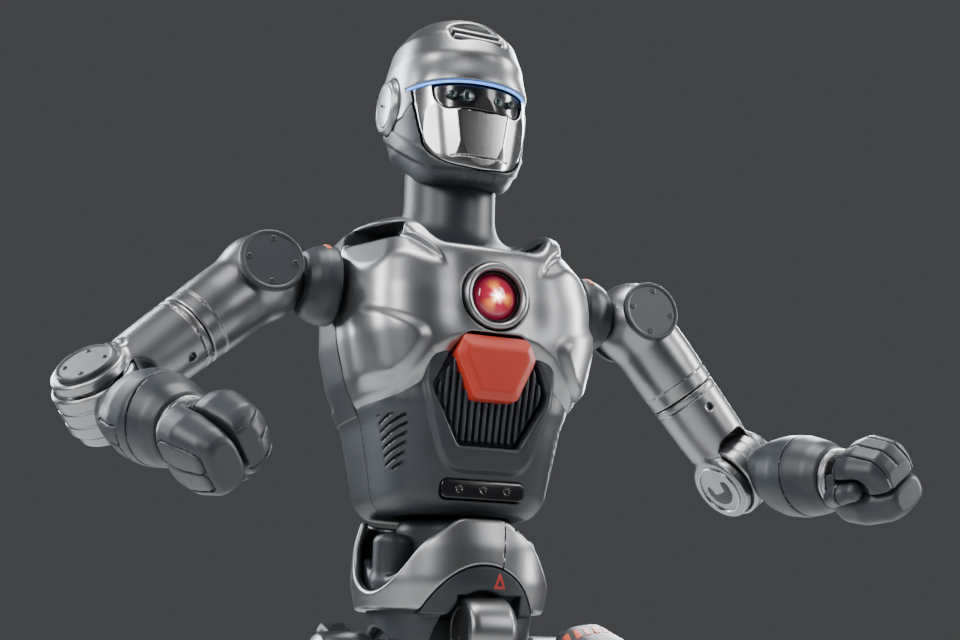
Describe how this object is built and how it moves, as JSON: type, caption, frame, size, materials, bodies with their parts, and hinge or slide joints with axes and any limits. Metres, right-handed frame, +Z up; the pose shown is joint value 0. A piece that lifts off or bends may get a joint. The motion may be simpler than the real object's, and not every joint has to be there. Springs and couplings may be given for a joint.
{
  "type": "humanoid robot kit",
  "caption": "Humanoid robot kit in a lunging stance: visored head, shelled torso with a round chest lamp, forked elbows and knees, closed hands and flat-soled feet.",
  "frame": {"origin": "on the floor under the middle of the robot's box", "axes": "+Z up, the robot faces -Y, +X to the robot's left"},
  "size_m": [0.8948, 0.7566, 1.227],
  "materials": {
    "silver_shell": "satin metallic silver-grey coating on thin shells",
    "frame_casting": "dark anodised castings",
    "dark_shell": "dark blue-grey fine-textured matte shell",
    "bare_steel": "turned bare metal",
    "polished_face": "polished metallic face mask",
    "black_window": "gloss black infrared-clear window",
    "red_badge": "satin red moulding",
    "light_strip": "blue light guide",
    "lamp_lens": "red domed lens with a white glow",
    "rubber_sole": "black rubber sole"
  },
  "bodies": {
    "pelvis": {"pelvis_shell": "silver_shell", "pelvis_frame": "frame_casting", "crotch_cover": "silver_shell", "waist_motor": "bare_steel"},
    "torso": {"chest_shell": "silver_shell", "back_shell": "dark_shell", "abdomen_shell": "dark_shell", "torso_frame": "frame_casting", "battery_pack": "dark_shell", "chest_grille": "dark_shell", "chest_badge": "red_badge", "lamp_bezel": "bare_steel", "chest_lamp": "lamp_lens", "sensor_window": "black_window", "neck_column": "dark_shell", "rear_handle": "bare_steel"},
    "head": {"head_shell": "silver_shell", "jaw_shell": "dark_shell", "face_plate": "polished_face", "camera_window": "black_window", "light_strip": "light_strip", "head_vent": "dark_shell", "ear_disc_right": "silver_shell", "ear_disc_left": "silver_shell"},
    "shoulder_link_right": {"shoulder_yoke_right": "dark_shell"},
    "shoulder_right": {"shoulder_housing_right": "silver_shell", "shoulder_cap_right": "dark_shell"},
    "upper_arm_right": {"upper_arm_shell_right": "silver_shell", "elbow_cap_right": "dark_shell"},
    "forearm_right": {"elbow_motor_right": "bare_steel", "forearm_shell_right": "dark_shell"},
    "hand_right": {"wrist_ring_right": "bare_steel", "hand_palm_right": "dark_shell", "hand_fingers_right": "dark_shell"},
    "shoulder_link_left": {"shoulder_yoke_left": "dark_shell"},
    "shoulder_left": {"shoulder_housing_left": "silver_shell", "shoulder_cap_left": "dark_shell"},
    "upper_arm_left": {"upper_arm_shell_left": "silver_shell", "elbow_cap_left": "dark_shell"},
    "forearm_left": {"elbow_motor_left": "bare_steel", "forearm_shell_left": "dark_shell"},
    "hand_left": {"wrist_ring_left": "bare_steel", "hand_palm_left": "dark_shell", "hand_fingers_left": "dark_shell"},
    "hip_link_right": {"hip_drum_right": "silver_shell"},
    "hip_roll_link_right": {"hip_roll_motor_right": "frame_casting"},
    "thigh_right": {"thigh_shell_right": "silver_shell", "thigh_guard_right": "dark_shell"},
    "shin_right": {"shin_shell_right": "dark_shell"},
    "ankle_link_right": {"ankle_cross_right": "bare_steel"},
    "foot_right": {"foot_shell_right": "dark_shell", "foot_sole_right": "rubber_sole"},
    "hip_link_left": {"hip_drum_left": "silver_shell"},
    "hip_roll_link_left": {"hip_roll_motor_left": "frame_casting"},
    "thigh_left": {"thigh_shell_left": "silver_shell", "thigh_guard_left": "dark_shell"},
    "shin_left": {"shin_shell_left": "dark_shell"},
    "ankle_link_left": {"ankle_cross_left": "bare_steel"},
    "foot_left": {"foot_shell_left": "dark_shell", "foot_sole_left": "rubber_sole"}
  },
  "joints": [
    {"name": "waist_yaw", "type": "hinge", "parent": "pelvis", "child": "torso", "pos_m": [-0.00628, -0.02096, 0.46902], "axis": [0, 0, 1], "range_deg": [-60, 60]},
    {"name": "head_yaw", "type": "hinge", "parent": "torso", "child": "head", "pos_m": [-0.00628, 0.00704, 0.47402], "axis": [0, 0, 1], "range_deg": [-70, 70]},
    {"name": "shoulder_pitch_right", "type": "hinge", "parent": "torso", "child": "shoulder_link_right", "pos_m": [-0.23428, -0.02096, 0.87902], "axis": [1, 0, 0], "range_deg": [-90, 45]},
    {"name": "shoulder_roll_right", "type": "hinge", "parent": "shoulder_link_right", "child": "shoulder_right", "pos_m": [-0.23428, -0.02096, 0.87902], "axis": [0, 0.9816, -0.1908], "range_deg": [-25, 60]},
    {"name": "shoulder_yaw_right", "type": "hinge", "parent": "shoulder_right", "child": "upper_arm_right", "pos_m": [-0.31132, -0.03457, 0.80899], "axis": [0.7337, 0.1296, 0.667], "range_deg": [-50, 50]},
    {"name": "elbow_right", "type": "hinge", "parent": "upper_arm_right", "child": "forearm_right", "pos_m": [-0.3957, -0.04948, 0.73229], "axis": [0.5369, 0.491, -0.6861], "range_deg": [-18, 65]},
    {"name": "wrist_right", "type": "hinge", "parent": "forearm_right", "child": "hand_right", "pos_m": [-0.33633, -0.17919, 0.68591], "axis": [-0.3958, 0.8647, 0.3092], "range_deg": [-60, 60]},
    {"name": "shoulder_pitch_left", "type": "hinge", "parent": "torso", "child": "shoulder_link_left", "pos_m": [0.22172, -0.02096, 0.87902], "axis": [1, 0, 0], "range_deg": [-90, 45]},
    {"name": "shoulder_roll_left", "type": "hinge", "parent": "shoulder_link_left", "child": "shoulder_left", "pos_m": [0.22172, -0.02096, 0.87902], "axis": [0, 0.9945, -0.1045], "range_deg": [-60, 25]},
    {"name": "shoulder_yaw_left", "type": "hinge", "parent": "shoulder_left", "child": "upper_arm_left", "pos_m": [0.28564, -0.02967, 0.79617], "axis": [-0.6088, 0.0829, 0.789], "range_deg": [-50, 50]},
    {"name": "elbow_left", "type": "hinge", "parent": "upper_arm_left", "child": "forearm_left", "pos_m": [0.35565, -0.0392, 0.70544], "axis": [0.7926, 0.107, 0.6003], "range_deg": [-18, 65]},
    {"name": "wrist_left", "type": "hinge", "parent": "forearm_left", "child": "hand_left", "pos_m": [0.38865, -0.18445, 0.68773], "axis": [-0.22, 0.9683, 0.118], "range_deg": [-60, 60]},
    {"name": "hip_pitch_right", "type": "hinge", "parent": "pelvis", "child": "hip_link_right", "pos_m": [-0.12428, -0.02096, 0.46902], "axis": [1, 0, 0], "range_deg": [-60, 15]},
    {"name": "hip_roll_right", "type": "hinge", "parent": "hip_link_right", "child": "hip_roll_link_right", "pos_m": [-0.12428, -0.00438, 0.42184], "axis": [0, 0.9435, 0.3315], "range_deg": [-20, 20]},
    {"name": "hip_yaw_right", "type": "hinge", "parent": "hip_roll_link_right", "child": "thigh_right", "pos_m": [-0.13667, 0.00647, 0.39096], "axis": [0.3541, -0.31, 0.8823], "range_deg": [-20, 20]},
    {"name": "knee_right", "type": "hinge", "parent": "thigh_right", "child": "shin_right", "pos_m": [-0.20573, 0.06692, 0.21891], "axis": [0.8867, -0.1885, -0.4221], "range_deg": [-30, 60]},
    {"name": "ankle_pitch_right", "type": "hinge", "parent": "shin_right", "child": "ankle_link_right", "pos_m": [-0.22826, 0.30106, 0.06702], "axis": [0.8867, -0.1885, -0.4221], "range_deg": [-5, 40]},
    {"name": "ankle_roll_right", "type": "hinge", "parent": "ankle_link_right", "child": "foot_right", "pos_m": [-0.22826, 0.30106, 0.06702], "axis": [0.208, 0.9781, 0.0001], "range_deg": [-5, 15]},
    {"name": "hip_pitch_left", "type": "hinge", "parent": "pelvis", "child": "hip_link_left", "pos_m": [0.11172, -0.02096, 0.46902], "axis": [1, 0, 0], "range_deg": [-20, 60]},
    {"name": "hip_roll_left", "type": "hinge", "parent": "hip_link_left", "child": "hip_roll_link_left", "pos_m": [0.11172, -0.06498, 0.44531], "axis": [0, 0.4741, -0.8805], "range_deg": [-20, 20]},
    {"name": "hip_yaw_left", "type": "hinge", "parent": "hip_roll_link_left", "child": "thigh_left", "pos_m": [0.12528, -0.09339, 0.43001], "axis": [-0.3874, 0.8117, 0.4371], "range_deg": [-20, 20]},
    {"name": "knee_left", "type": "hinge", "parent": "thigh_left", "child": "shin_left", "pos_m": [0.20081, -0.25168, 0.34479], "axis": [0.9199, 0.3717, 0.1249], "range_deg": [-55, 40]},
    {"name": "ankle_pitch_left", "type": "hinge", "parent": "shin_left", "child": "ankle_link_left", "pos_m": [0.23175, -0.23492, 0.067], "axis": [0.9199, 0.3717, 0.1249], "range_deg": [-30, 20]},
    {"name": "ankle_roll_left", "type": "hinge", "parent": "ankle_link_left", "child": "foot_left", "pos_m": [0.23175, -0.23492, 0.067], "axis": [-0.3747, 0.9272, 0], "range_deg": [-15, 5]}
  ]
}
